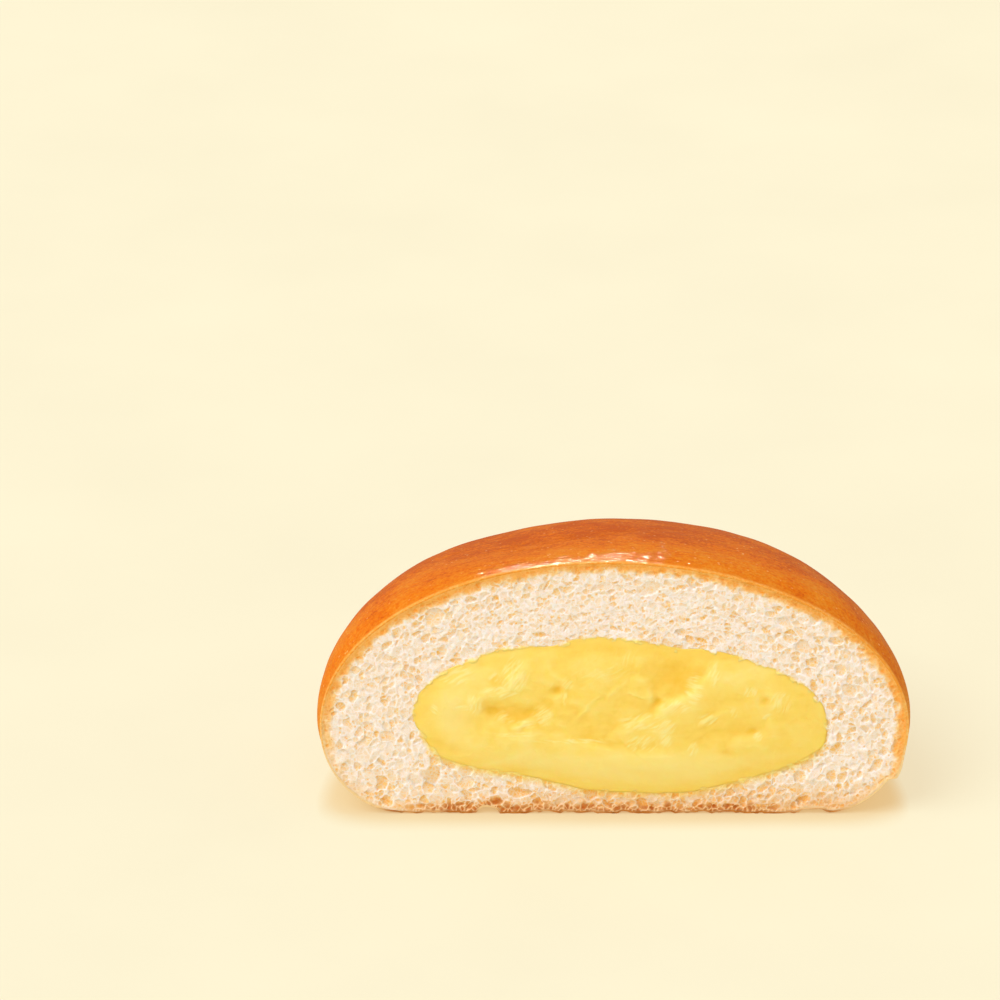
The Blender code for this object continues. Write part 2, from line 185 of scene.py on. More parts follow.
crumbForm = {
    "seed": 11,
    "spacing": 0.1635,
    "back": 2.2,
    "skin": 0.15,  # the crumb starts this far inside the crust's outline
    "underCustard": 0.75,  # and ends this far inside the custard's outline
    "namedCells": (  # x, z, radius, tone from pale and shallow to golden and deep, the gold being painted shade
        (-30.7, 37.6, 1.55, 0.4), (-16.1, 3.9, 1.35, 0.9), (-31, 7.4, 1.9, 0.5), (-28.4, 9.7, 1.3, 0.5),
        (-25.1, 5.9, 1.2, 0.45), (-38.6, 14.5, 1.25, 0.4), (11.5, 34.6, 1.05, 0.7),
        (12.7, 33.2, 0.8, 0.9), (39.5, 23.9, 1.2, 0.5), (31.5, 32, 1.4, 0.4), (-12.9, 34.3, 0.9, 0.9),
        (-29.2, 31.4, 1, 0.5), (-26.5, 29, 0.9, 0.8), (-33.9, 18.6, 0.8, 0.9), (-11.8, 5.8, 0.8, 0.6),
        (-23.6, 4.4, 0.7, 0.8), (34.8, 20.2, 0.9, 0.6), (-2.4, 43.4, 1.3, 0.3), (5.6, 43, 1.7, 0.25),
        (28.8, 36.4, 1.2, 0.35),
    ),
    "cells": (  # radius, most cells of that size
        (1.2, 16), (1, 40), (0.84, 110), (0.7, 300), (0.58, 700), (0.48, 1400), (0.4, 2600), (0.31, 3600),
        (0.24, 4000),
    ),
    "largest": (0.34, 0.65, 0.4, 0.5),  # radius at the crust, more inside, more low down, less at the top
    "clear": (0.25, 0.7),  # cells stay this far inside the crust, and may lie this far over the custard
    "squash": (0.45, 0.92),
    "paleness": 2.2,  # the higher, the fewer cells are deep and painted golden as shade
    "cellDepth": (0.06, 0.45),  # a pale cell's depth as share of its radius, and a golden one's extra
    "floorSlope": 0.12,
    "fit": 0.86,  # the room that a cell needs, as share of its radius
    "wallFade": 0.16,
    "warps": ((2.6, 0.36), (1.1, 0.26), (0.5, 0.1)),  # size and height of the waves that bend the cells
    "lapWaves": ((1.7, 0.24), (0.6, 0.14)),  # the same of the crumb's edge over the custard's rim
    "browned": (-38, 36),  # the stretch of the lower edge that is browned
}

farAway = 1e9
noiseCells = 48  # the noise repeats after so many waves


def rise(low, high, value):  # from 0 at low to 1 at high, without a kink
    share = np.clip((value - low) / (high - low), 0.0, 1.0)
    return share * share * (3.0 - 2.0 * share)


def fade(low, high, value):  # from 1 at low to 0 at high
    return 1.0 - rise(low, high, value)


def bell(value, spread):
    return np.exp(-((value / spread) ** 2))


def noiseAt(x, y, z, size, seed):  # smooth noise between -1 and 1
    lattice = np.random.default_rng(seed).uniform(-1.0, 1.0, (noiseCells,) * 3)
    total = 0.0
    scaled = [np.asarray(value) / size + 10.0 * noiseCells for value in (x, y, z)]
    cells = [np.floor(value).astype(int) for value in scaled]
    parts = [value - cell for value, cell in zip(scaled, cells)]
    parts = [part**3 * (part * (part * 6.0 - 15.0) + 10.0) for part in parts]
    for corner in itertools.product((0, 1), repeat=3):
        weight = 1.0
        for side, part in zip(corner, parts):
            weight = weight * (part if side else 1.0 - part)
        place = tuple((cell + side) % noiseCells for side, cell in zip(corner, cells))
        total = total + weight * lattice[place]
    return total


def turned(x, z, turn):  # the same place along and across this direction
    cos, sin = math.cos(turn), math.sin(turn)
    return x * cos + z * sin, z * cos - x * sin


def layeredNoise(x, z, size, seed):  # three layers of noise, each finer and turned from the last
    total = 0.0
    for layer in range(3):
        along, aside = turned(x, z, -0.7 * layer - 0.3)
        total = total + 0.5**layer * noiseAt(along, 0.0, aside, size / 2.0**layer, seed + layer)
    return total


def wavesAt(x, z, waves, seed):  # the sum of waves, each with its size and height
    total = 0.0
    for number, (size, height) in enumerate(waves):
        total = total + height * noiseAt(x, 0.0, z, size, seed + number)
    return total


# The bun's outside, the same rule as its solid's.
def snipDepth(angle, share, turn):
    depth = 0.0
    for snipAngle, deepest, start in bun["snips"]:
        nearness = np.clip(1.0 - np.abs(angle - snipAngle) / bun["snipHalfAngle"], 0.0, None)
        reach = np.where(turn >= 0.0, rise(start, bun["snipEnd"], share), 1.0)
        depth = depth + deepest * reach * nearness ** bun["snipSharpness"]
    under = rise(bun["snipUnder"] * footShare, footShare, share)
    return depth * np.where(turn <= -90.0, under, 1.0)


def seamStep(angle, height):
    lap = bun["seamLip"] * bell(height - bun["seamHeight"], bun["seamSpread"])
    step = np.where(height > bun["seamHeight"], lap, -bun["seamUndercut"] * lap)
    return fade(*bun["seamFade"], angle) * step


def unevenness(x, y, z):
    total = 0.0
    for hillX, hillY, spread, height in bun["hills"]:
        total = total + height * np.exp(-((x - hillX) ** 2 + (y - hillY) ** 2) / spread**2)
    return total * rise(0, bun["hillStart"], y) * rise(*bun["hillRise"], z)


def bunSurface(angle, share, turn):
    a, t = np.radians(angle), np.radians(turn)
    across, back = share * np.cos(a), share * np.sin(a)
    upper = turn > 0.0
    fullness = 2.0 + (bun["depthFullness"] - 2.0) * np.sin(a) ** 2
    lift = np.clip(1.0 - share**fullness, 0.0, None) ** (1.0 / fullness)
    dome = bun["girthHeight"] + domeHeight * lift * (1.0 - bun["crownLean"] * across)
    z = np.where(upper, dome, bun["girthHeight"] * (1.0 + np.sin(t)))
    x, y = across * halfWidth, back * bun["depth"]
    level = np.where(upper, np.cos(t), 1.0)
    outX, outY, outZ = np.cos(a) * level, np.sin(a) * level, np.clip(np.sin(t), 0.0, None)
    push = unevenness(x, y, z) - snipDepth(angle, share, turn)
    push = push + np.where((turn < 0.0) & (turn > -90.0), seamStep(angle, z), 0.0)
    rippleBack, rippleUp = bun["rippleStart"]
    for number, (size, height) in enumerate(bun["ripples"]):
        ripple = height * noiseAt(x, y, z, size, number)
        push = push + ripple * rise(*rippleBack, y) * rise(*rippleUp, z)
    x, y, z = x + outX * push, y + outY * push, z + outZ * push
    roll = bun["shoulderDrop"] * bell(y, bun["shoulderReach"])
    x, y, z = x - outX * roll, np.clip(y, 0.0, None), z - outZ * roll
    for archX, archHalf, archHeight in bun["baseArches"]:
        over = np.clip(1.0 - ((x - archX) / archHalf) ** 2 - (y / bun["archDepth"]) ** 2, 0.0, None)
        z = np.maximum(z, archHeight * np.sqrt(over))
    torn = bun["tornLift"]
    for number, (size, height) in enumerate(bun["raggedBase"]):
        torn = torn + height * noiseAt(x, 0.0, 0.0, size, 35 + number)
    behind, above, aside = bun["tornReach"]
    atEdge = fade(*behind, y) * fade(*above, z)
    z = z + np.clip(torn, 0.0, None) * atEdge * fade(*aside, np.abs(x))
    return np.stack([x, y, z], axis=-1)


def sideLine():  # share of the plan's radius and turn of the outward direction, crown to underside
    dome = 90.0 * (1.0 - np.arange(1, bun["domeRings"] + 1) / bun["domeRings"])
    atSeam = math.degrees(math.asin(bun["seamHeight"] / bun["girthHeight"] - 1.0))
    heel = -90.0 * np.arange(1, bun["heelRings"] + 1) / bun["heelRings"]
    heel = heel[np.abs(heel - atSeam) > bun["seamClear"]]
    heel = -np.sort(-np.append(heel, atSeam + np.array(bun["seamRings"])))
    under = np.linspace(1.0, 0.0, bun["underRings"], endpoint=False)[1:]
    heelShare = footShare + (1.0 - footShare) * np.cos(np.radians(heel))
    share = np.concatenate([np.cos(np.radians(dome)), heelShare, footShare * under])
    return share, np.concatenate([dome, heel, np.full(len(under), -90.0)])


def cutOutline():  # the bun's outline on the cut, anticlockwise from the base's middle
    share, turn = sideLine()
    right, left = (bunSurface(np.full(len(share), angle), share, turn) for angle in (0.0, 180.0))
    crown = np.array([[0.0, 0.0, bun["crownHeight"]]])
    return np.concatenate([np.zeros((1, 3)), right[::-1], crown, left])[:, (0, 2)]


# The custard's outline on the cut.
def outlineShare(turn):
    lean, leanAngle = filling["lean"]
    radius = filling["fill"] + lean * np.cos(2.0 * (turn - math.radians(leanAngle)))
    for angle, spread, height in filling["bumps"]:
        off = (np.degrees(turn) - angle + 180.0) % 360.0 - 180.0
        radius = radius + height * bell(off, spread)
    return radius


def custardOutline(turn, share=1.0, grow=0.0):
    radius = outlineShare(turn) * share
    x = centreX + (halfX * radius + grow) * np.cos(turn)
    z = centreZ + (halfZ * radius + grow) * np.sin(turn)
    return np.stack([x, z], axis=-1)


def turnToward(x, z):  # the turn whose outline point lies in the direction of x, z
    return np.arctan2((z - centreZ) * halfX, (x - centreX) * halfZ)


def distanceToLoop(x, z, loop):  # plus inside the loop
    nearest = np.full(x.shape, farAway)
    inside = np.zeros(x.shape, dtype=bool)
    for (ax, az), (bx, bz) in zip(loop, np.roll(loop, -1, axis=0)):
        length = (bx - ax) ** 2 + (bz - az) ** 2 + 1e-12
        along = np.clip(((x - ax) * (bx - ax) + (z - az) * (bz - az)) / length, 0.0, 1.0)
        nearest = np.minimum(nearest, (x - ax - along * (bx - ax)) ** 2 + (z - az - along * (bz - az)) ** 2)
        if az != bz:
            inside ^= ((az > z) != (bz > z)) & (x < (bx - ax) * (z - az) / (bz - az) + ax)
    return np.where(inside, 1.0, -1.0) * np.sqrt(nearest)


# Meshes.
def shiftToFrame():  # from the bun's own space to the frame's, by the solid's box
    share, turn = sideLine()
    across = bunSurface(np.linspace(0.0, 180.0, 181)[:, None], share[None, :], turn[None, :])[..., 0]
    low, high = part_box("bread")
    middle = (low.x + high.x) / 2.0 / mm - (across.min() + across.max()) / 2.0
    return np.array([middle, low.y / mm, low.z / mm])


frameShift = shiftToFrame()


def addMarks(mesh, marks):  # numbers or places kept on the points for the materials to read
    for mark, values in marks.items():
        values = np.asarray(values, dtype=np.float32)
        kind, field = ("FLOAT_VECTOR", "vector") if values.ndim == 2 else ("FLOAT", "value")
        mesh.attributes.new(mark, kind, "POINT").data.foreach_set(field, values.ravel())


def addObject(name, data):
    made = bpy.data.objects.new(name, data)
    scene.collection.objects.link(made)
    return made


def addPiece(name, mesh, material=None):
    mesh.name = name
    mesh.shade_smooth()
    if material:
        mesh.materials.append(material)
    return addObject(name, mesh)


def makePiece(name, points, faces, material, marks):
    mesh = bpy.data.meshes.new(name)
    mesh.from_pydata(((points + frameShift) * mm).tolist(), [], faces)
    addMarks(mesh, marks)
    shape = bmesh.new()
    shape.from_mesh(mesh)
    bmesh.ops.recalc_face_normals(shape, faces=shape.faces)
    shape.to_mesh(mesh)
    shape.free()
    return addPiece(name, mesh, material)


def gridFaces(numbers, closed=False):  # numbers of the points as rows and columns
    rows = np.concatenate([numbers, numbers[:, :1]], axis=1) if closed else numbers
    corners = [rows[:-1, :-1], rows[1:, :-1], rows[1:, 1:], rows[:-1, 1:]]
    return np.stack(corners, axis=-1).reshape(-1, 4).tolist()


def fanFaces(pole, ring, closed=False):
    ends = np.append(ring, ring[0]) if closed else ring
    return [(pole, int(here), int(there)) for here, there in zip(ends, ends[1:])]


# Materials.
def rgb(red, green, blue):  # a screen colour as the shader's linear one
    parts = [value / 255.0 for value in (red, green, blue)]
    return [part / 12.92 if part <= 0.04045 else ((part + 0.055) / 1.055) ** 2.4 for part in parts] + [1.0]


def newMaterial(name):
    material = bpy.data.materials.new(name)
    material.use_nodes = True
    return material, material.node_tree, material.node_tree.nodes["Principled BSDF"]


def setInputs(tree, node, inputs):  # an input is a value or another node's output
    for socket, value in inputs.items():
        if isinstance(value, bpy.types.NodeSocket):
            tree.links.new(value, node.inputs[socket])
        else:
            node.inputs[socket].default_value = value


def addNode(tree, kind, inputs=None, **settings):  # hands back the node's outputs
    made = tree.nodes.new(kind)
    for key, value in settings.items():
        setattr(made, key, value)
    setInputs(tree, made, inputs or {})
    return made.outputs


def readMark(tree, mark):
    return addNode(tree, "ShaderNodeAttribute", attribute_name=mark)["Fac"]


def objectPlace(tree):
    return addNode(tree, "ShaderNodeTexCoord")["Object"]


def addNoise(tree, scale, detail=3.0, roughness=0.5, along=1.0):  # scale is in waves a millimetre
    place = addNode(tree, "ShaderNodeMapping", {"Vector": objectPlace(tree), "Scale": (along, 1.0, 1.0)})
    inputs = {"Vector": place[0], "Scale": scale / mm, "Detail": detail, "Roughness": roughness}
    return addNode(tree, "ShaderNodeTexNoise", inputs)["Fac"]


def addMath(tree, operation, first, second=0.0, third=0.0, clamp=False):
    inputs = {0: first, 1: second, 2: third}
    return addNode(tree, "ShaderNodeMath", inputs, operation=operation, use_clamp=clamp)[0]


def addRamp(tree, factor, stops):
    made = tree.nodes.new("ShaderNodeValToRGB")
    tree.links.new(factor, made.inputs["Fac"])
    ramp = made.color_ramp
    while len(ramp.elements) < len(stops):
        ramp.elements.new(0.5)
    for element, (position, colour) in zip(ramp.elements, stops):
        element.position = position
        element.color = colour
    return made.outputs["Color"]


def mixColour(tree, factor, first, second, blend="MIX"):
    inputs = {0: factor, 6: first, 7: second}  # the node's sockets for two colours
    return addNode(tree, "ShaderNodeMix", inputs, data_type="RGBA", blend_type=blend)[2]


def spread(tree, value, low, high):  # the value from low to high as 0 to 1
    inputs = {"Value": value, "From Min": low, "From Max": high}
    return addNode(tree, "ShaderNodeMapRange", inputs, clamp=True)["Result"]


def addBumps(tree, heights, layers):  # a layer is a height's name, its strength and its depth
    inputs = {}
    for name, strength, depth in layers:
        inputs |= {"Height": heights[name], "Strength": strength, "Distance": depth * mm}
        inputs["Normal"] = addNode(tree, "ShaderNodeBump", inputs)["Normal"]
    return inputs["Normal"]


crustFinish = {
    "bakes": (  # pale in the dough's folds, golden on the side, brown on the crown
        (0, rgb(249, 208, 134)),
        (0.22, rgb(232, 166, 78)),
        (0.42, rgb(223, 139, 40)),
        (0.64, rgb(219, 121, 21)),
        (0.82, rgb(214, 105, 13)),
        (1, rgb(188, 80, 10)),
    ),
    "cutEdges": ((0.18, rgb(240, 206, 150)), (0.42, rgb(240, 182, 98)), (0.7, rgb(236, 150, 52))),
    "specks": rgb(246, 182, 104),
    "underside": ((0.25, rgb(208, 140, 68)), (0.75, rgb(160, 88, 32))),
    "inside": rgb(246, 226, 196),
    "waves": {  # waves a millimetre, detail, roughness, and share of the waves along x
        "mottle": (0.12, 4),
        "grain": (1.9, 3, 0.65),
        "streaks": (1.1, 3, 0.5, 0.45),
        "specked": (0.25, 2),
        "browning": (0.5, 4),
        "swell": (0.3, 3),
        "wrinkle": (1.05, 1, 0.35, 0.4),
        "pores": (3, 2),
    },
    "mottling": 0.7,
    "graining": 1.3,
    "streakShare": 0.35,
    "speckCells": 0.75,  # cells a millimetre, and a speck may be in each
    "speckSize": (0.2, 0.1),
    "speckPatches": (0.45, 0.65),
    "speckTint": 0.7,
    "edgeGrain": 0.6,
    "edgeFade": (0.45, 1.1),
    "bumps": (("swell", 0.6, 0.2), ("wrinkle", 1, 0.3), ("pores", 0.8, 0.015), ("speck", 0.6, 0.06)),
    "surface": {
        "Roughness": 0.5,
        "Specular IOR Level": 0,  # the glaze has all the gloss
        "Coat Weight": 0.24,
        "Coat IOR": 1.4,
        "Coat Roughness": 0.06,
        "Subsurface Weight": 0.12,
        "Subsurface Radius": (1, 0.45, 0.2),
        "Subsurface Scale": 0.8 * mm,
    },
}


def makeCrustMaterial(look):
    material, tree, surface = newMaterial("crust")
    waves = {name: addNoise(tree, *values) for name, values in look["waves"].items()}
    grain = addMath(tree, "MULTIPLY", waves["grain"], 1.0 - look["streakShare"])
    grain = addMath(tree, "MULTIPLY_ADD", waves["streaks"], look["streakShare"], grain)
    bake = addMath(tree, "MULTIPLY_ADD", waves["mottle"], look["mottling"], readMark(tree, "bake"))
    bake = addMath(tree, "MULTIPLY_ADD", grain, look["graining"], bake)
    bake = addMath(tree, "SUBTRACT", bake, 1.0, clamp=True)
    colour = addRamp(tree, bake, look["bakes"])
    inputs = {"Vector": objectPlace(tree), "Scale": look["speckCells"] / mm}
    away = addNode(tree, "ShaderNodeTexVoronoi", inputs)["Distance"]
    speck = addMath(tree, "MULTIPLY", spread(tree, away, *look["speckSize"]),
                    spread(tree, waves["specked"], *look["speckPatches"]))
    tint = addMath(tree, "MULTIPLY", speck, look["speckTint"])
    colour = mixColour(tree, tint, colour, look["specks"])
    edge = addMath(tree, "MULTIPLY_ADD", grain, look["edgeGrain"], readMark(tree, "cutEdge"))
    edge = spread(tree, edge, *look["edgeFade"])
    colour = mixColour(tree, edge, colour, addRamp(tree, bake, look["cutEdges"]))
    under = addRamp(tree, waves["browning"], look["underside"])
    colour = mixColour(tree, readMark(tree, "underside"), colour, under)
    colour = mixColour(tree, readMark(tree, "inside"), colour, look["inside"])
    wrinkle = addMath(tree, "ABSOLUTE", addMath(tree, "SUBTRACT", waves["wrinkle"], 0.5))
    normal = addBumps(tree, waves | {"wrinkle": wrinkle, "speck": speck}, look["bumps"])
    links = {"Base Color": colour, "Normal": normal, "Coat Normal": normal}
    setInputs(tree, surface, look["surface"] | links)
    return material


crumbFinish = {
    "depths": (  # painted shade: from the light walls of the cells to the golden deepest floors
        (0, rgb(247, 239, 237)),
        (0.22, rgb(239, 220, 193)),
        (0.5, rgb(246, 206, 142)),
        (1, rgb(242, 186, 84)),
    ),
    "towardCrust": ((0, rgb(255, 255, 255)), (0.45, rgb(255, 228, 172)), (1, rgb(254, 194, 100))),
    "towardCustard": rgb(255, 238, 138),
    "towardBase": ((0, rgb(255, 255, 255)), (0.35, rgb(245, 222, 184)), (1, rgb(198, 134, 66))),
    "coarseWeb": (0.8, 0.14),  # size of the cells, share that is wall
    "fineWeb": (0.42, 0.26),
    "finePatches": (0.35, 0.6),  # from where the fine web is missing to where it is whole
    "fineWhere": (0.5, 2),  # waves a millimetre of those patches, detail
    "webBend": (0.9, 0.9),  # waves a cell that bend the web, and how far, as share of a cell
    "webPaleness": 0.75,
    "flecks": (1.3, 3),
    "fleckWeight": 0.3,
    "pits": (0.62, 0.2),  # size of the small pits painted golden as shade, how many of the cells are one
    "pitEdge": (0.06, 0.24),
    "pitWeight": 0.6,
    "bumps": (("web", 0.4, 0.05),),
    "surface": {
        "Roughness": 0.75,
        "Specular IOR Level": 0.25,
        "Subsurface Weight": 0.8,
        "Subsurface Radius": (0.7, 0.9, 1),
        "Subsurface Scale": 0.5 * mm,
    },
}


def warpedPlace(tree, size):
    place = objectPlace(tree)
    waves, push = crumbFinish["webBend"]
    inputs = {"Vector": place, "Scale": waves / (size * mm), "Detail": 2.0}
    waves = addNode(tree, "ShaderNodeTexNoise", inputs)
    centred = {0: waves["Color"], 1: (0.5, 0.5, 0.5)}
    offset = addNode(tree, "ShaderNodeVectorMath", centred, operation="SUBTRACT")[0]
    moved = {0: offset, 1: (push * size * mm,) * 3, 2: place}
    return addNode(tree, "ShaderNodeVectorMath", moved, operation="MULTIPLY_ADD")[0]


def addCells(tree, size, **settings):
    inputs = {"Vector": warpedPlace(tree, size), "Scale": 1.0 / (size * mm)}
    return addNode(tree, "ShaderNodeTexVoronoi", inputs, **settings)


def addWeb(tree, size, wall):  # 1 on thin walls between cells, 0 inside them
    return spread(tree, addCells(tree, size, feature="DISTANCE_TO_EDGE")["Distance"], wall, 0.0)


def addPits(tree, size, share):  # 1 in a few of the cells, 0 at their walls and in the others
    walls = addCells(tree, size, feature="DISTANCE_TO_EDGE")["Distance"]
    chance = addNode(tree, "ShaderNodeSeparateColor", {0: addCells(tree, size)["Color"]})[0]
    picked = spread(tree, chance, 1.0 - share, 1.0)
    return addMath(tree, "MULTIPLY", spread(tree, walls, *crumbFinish["pitEdge"]), picked)


def makeCrumbMaterial(look):
    material, tree, surface = newMaterial("crumb")
    fleck = addMath(tree, "SUBTRACT", addNoise(tree, *look["flecks"]), 0.5)
    patches = spread(tree, addNoise(tree, *look["fineWhere"]), *look["finePatches"])
    fine = addMath(tree, "MULTIPLY", addWeb(tree, *look["fineWeb"]), patches)
    web = addMath(tree, "MAXIMUM", addWeb(tree, *look["coarseWeb"]), fine)
    # The colour is painted shade: the deeper the cell, flecks and pits, the more golden; the web's walls
    # stay light.
    kept = addMath(tree, "MULTIPLY_ADD", web, -look["webPaleness"], 1.0)
    pits = addMath(tree, "MULTIPLY", addPits(tree, *look["pits"]), readMark(tree, "open"))
    depth = readMark(tree, "cellDepth")
    for part, weight in ((fleck, look["fleckWeight"]), (pits, look["pitWeight"])):
        depth = addMath(tree, "MULTIPLY_ADD", part, weight, depth)
    colour = addRamp(tree, addMath(tree, "MULTIPLY", depth, kept, clamp=True), look["depths"])
    colour = mixColour(tree, readMark(tree, "nearCustard"), colour, look["towardCustard"], "MULTIPLY")
    for mark, stops in (("nearCrust", look["towardCrust"]), ("browned", look["towardBase"])):
        colour = mixColour(tree, 1.0, colour, addRamp(tree, readMark(tree, mark), stops), "MULTIPLY")
    heights = {"web": addMath(tree, "SUBTRACT", web, pits)}
    normal = addBumps(tree, heights, look["bumps"])
    setInputs(tree, surface, look["surface"] | {"Base Color": colour, "Normal": normal})
    return material


custardFinish = {
    "depths": (  # from painted shade in the hollows to painted highlight on the ridges
        (0.1, rgb(241, 197, 60)),
        (0.5, rgb(254, 216, 102)),
        (0.92, rgb(255, 228, 138)),
    ),
    # painted light: the smooth lower part that faces up and out is lighter, and the left part is paler as
    # well
    "litBand": rgb(255, 229, 148),
    # painted highlight on the fine torn wrinkles
    "torn": rgb(255, 238, 168),
    "clouds": (0.18, 3, 0.3),  # waves a millimetre, detail, and their weight in the colour
    "smears": (0.55, 2, 0.4),
    "fineWaves": (1.4, 4),
    "tearing": {"Scale": 2.2, "Detail": 2, "Roughness": 0.5},
    "tornSharpness": (0.52, 0.74),
    "tornWeight": 0.12,
    "strokeHighlight": 0.55,
    "bumps": (("fine", 0.3, 0.2), ("smear", 0.3, 0.2), ("stroke", 0.3, 0.06)),
    "surface": {
        "Roughness": 0.34,
        "Specular IOR Level": 0.5,
        "Subsurface Weight": 0.85,
        "Subsurface Radius": (0.4, 0.7, 1),
        "Subsurface Scale": 1.0 * mm,
    },
}


def makeCustardMaterial(look):
    material, tree, surface = newMaterial("custard")
    scale, detail, cloudWeight = look["clouds"]
    cloud = addNoise(tree, scale, detail)
    scale, detail, smearWeight = look["smears"]
    smear = addNoise(tree, scale, detail, along=0.3)
    # Painted shade in the hollows and painted light on the ridges, with noise of the custard's own tone.
    relief = readMark(tree, "relief")
    for wave, weight in ((cloud, cloudWeight), (smear, smearWeight)):
        relief = addMath(tree, "MULTIPLY_ADD", addMath(tree, "SUBTRACT", wave, 0.5), weight, relief)
    colour = addRamp(tree, relief, look["depths"])
    colour = mixColour(tree, readMark(tree, "litBand"), colour, look["litBand"])
    flow = addNode(tree, "ShaderNodeAttribute", attribute_name="flow")["Vector"]
    waves = addNode(tree, "ShaderNodeTexNoise", look["tearing"] | {"Vector": flow})["Fac"]
    torn = readMark(tree, "torn")
    waves = addMath(tree, "MULTIPLY_ADD", torn, look["tornWeight"], waves)
    stroke = spread(tree, waves, *look["tornSharpness"])
    stroke = addMath(tree, "MULTIPLY", stroke, torn, clamp=True)
    # Painted highlights along the torn wrinkles, with a bump under them.
    tint = addMath(tree, "MULTIPLY", stroke, look["strokeHighlight"])
    heights = {"fine": addNoise(tree, *look["fineWaves"]), "smear": smear, "stroke": stroke}
    setInputs(tree, surface, look["surface"] | {
        "Base Color": mixColour(tree, tint, colour, look["torn"]),
        "Normal": addBumps(tree, heights, look["bumps"]),
    })
    return material


crustMaterial = makeCrustMaterial(crustFinish)
crumbMaterial = makeCrumbMaterial(crumbFinish)
custardMaterial = makeCustardMaterial(custardFinish)
print("materials ready")


# The crust: the bun's skin with a recess for the crumb and a hollow for the custard.
def behindCut(flat, depth):  # points of the cut, this far behind it
    return np.stack([flat[:, 0], np.broadcast_to(depth, len(flat)), flat[:, 1]], axis=1)


def closeBehind(points, faces, edge, rings, depth):  # closes a shell ring by ring to the custard's far tip
    last, made = edge, sum(len(part) for part in points)
    for ring in rings:
        here = np.arange(made, made + len(ring))
        faces += gridFaces(np.stack([last, here]), closed=True)
        last, made = here, made + len(ring)
    faces += fanFaces(made, last, closed=True)
    return np.concatenate(points + rings + [np.array([[centreX, depth, centreZ]])])


def bakeAt(y, z, crease):  # from 0 in the pale folds to 1 on the brown crown
    weight, depths = bun["foldPaleness"]
    bake = -weight * rise(*depths, crease)
    for weight, up, back in bun["baking"]:
        bake = bake + weight * rise(*up, z) * rise(*back, y)
    return bake


def makeCrust():
    share, turn = sideLine()
    even = np.linspace(0.0, 1.0, bun["columns"])
    angles = 180.0 * (even - 0.92 * np.sin(2.0 * math.pi * even) / (2.0 * math.pi))  # dense at the cut
    outside = bunSurface(angles[None, :], share[:, None], turn[:, None])
    rings, columns = outside.shape[:2]
    crown, foot = np.array([[0.0, 0.0, bun["crownHeight"]]]), np.zeros((1, 3))
    points = [crown, outside.reshape(-1, 3), foot]
    numbers = 1 + np.arange(rings * columns).reshape(rings, columns)
    middle = 1 + rings * columns
    faces = gridFaces(numbers) + fanFaces(0, numbers[0]) + fanFaces(middle, numbers[-1])
    edge = np.concatenate([[middle], numbers[::-1, 0], [0], numbers[:, -1]])
    outline = np.concatenate(points)[edge][:, (0, 2)]
    along = np.roll(outline, -1, axis=0) - np.roll(outline, 1, axis=0)
    along /= np.linalg.norm(along, axis=1)[:, None]
    inward = np.stack([-along[:, 1], along[:, 0]], axis=1)
    waveSize, inwardShare = bun["lipWaves"]
    wobble = noiseAt(outline[:, 0], 0.0, outline[:, 1], waveSize, 31)
    inner = []
    for inset, depth, rough in bun["lip"]:
        moved = outline + inward * (inset + inwardShare * rough * wobble)[:, None]
        moved[:, 1] = np.clip(moved[:, 1], 0.02, None)
        inner.append(behindCut(moved, depth + rough * wobble))
    toward = turnToward(outline[:, 0], outline[:, 1])
    reach = filling["depth"] + filling["gap"]
    startFall = math.asin(bun["lip"][-1][1] / reach)
    for fall in np.linspace(startFall, math.pi / 2.0, filling["backRings"] + 1)[:-1]:
        size = math.cos(fall) if fall > startFall else 1.0
        inner.append(behindCut(custardOutline(toward, size, filling["gap"]), reach * math.sin(fall)))
    points = closeBehind(points, faces, edge, inner, reach)
    x, y, z = points.T
    insideFrom = middle + 1
    crease = np.zeros(len(points))
    snipped = snipDepth(angles[None, :], share[:, None], turn[:, None]) / bun["creaseDepth"]
    crease[1:middle] = np.clip(snipped.reshape(-1), 0.0, 1.0)
    cutEdge = bell(y, bun["cutEdgeReach"])
    cutEdge[insideFrom:] = 1.0
    inside = np.zeros(len(points))
    inside[insideFrom + (len(bun["lip"]) - 1) * len(edge):] = 1.0
    waveSize, waveHeight = bun["undersideWaves"]
    under = fade(*bun["undersideEnd"], z + waveHeight * noiseAt(x, y, z, waveSize, 33))
    marks = {"bake": bakeAt(y, z, crease), "cutEdge": cutEdge, "underside": under, "inside": inside}
    return makePiece("crust", points, faces, crustMaterial, marks)


crust = makeCrust()
print("crust:", len(crust.data.vertices), "points")


# The crumb: the cut face as one sheet of opened cells.
spacing = crumbForm["spacing"]
gridX, gridZ = np.meshgrid(np.arange(-50.6, 50.7, spacing), np.arange(-0.2, 48.4, spacing))
fromCrust = distanceToLoop(gridX, gridZ, cutOutline()[::2])
ringTurns = np.linspace(0.0, 2.0 * math.pi, 241)[:-1]
fromCustard = -distanceToLoop(gridX, gridZ, custardOutline(ringTurns))
inCrumb = (fromCrust > crumbForm["skin"]) & (fromCustard > -crumbForm["underCustard"])
print("crumb grid:", int(inCrumb.sum()), "points")


def cutNoise(size, seed):
    return noiseAt(gridX, 0.0, gridZ, size, seed)


def cellStretch(x, z, rng):  # cells are longer along the crust than across it
    turn = math.atan2((x - centreX) / 50.0, -(z - centreZ) / 24.0) + rng.normal(0.0, 0.5)
    return turn, rng.uniform(*crumbForm["squash"])


def cellWindow(x, z, reach):
    column, row = (x - gridX[0, 0]) / spacing, (z - gridZ[0, 0]) / spacing
    side = reach / spacing
    rows = slice(max(int(row - side), 0), int(row + side) + 2)
    columns = slice(max(int(column - side), 0), int(column + side) + 2)
    return rows, columns


def cellDistance(x, z, cell):
    cellX, cellZ, radius, turn, squash = cell[:5]
    along, aside = turned(x - cellX, z - cellZ, turn)
    return np.hypot(along * math.sqrt(squash), aside / math.sqrt(squash)) - radius


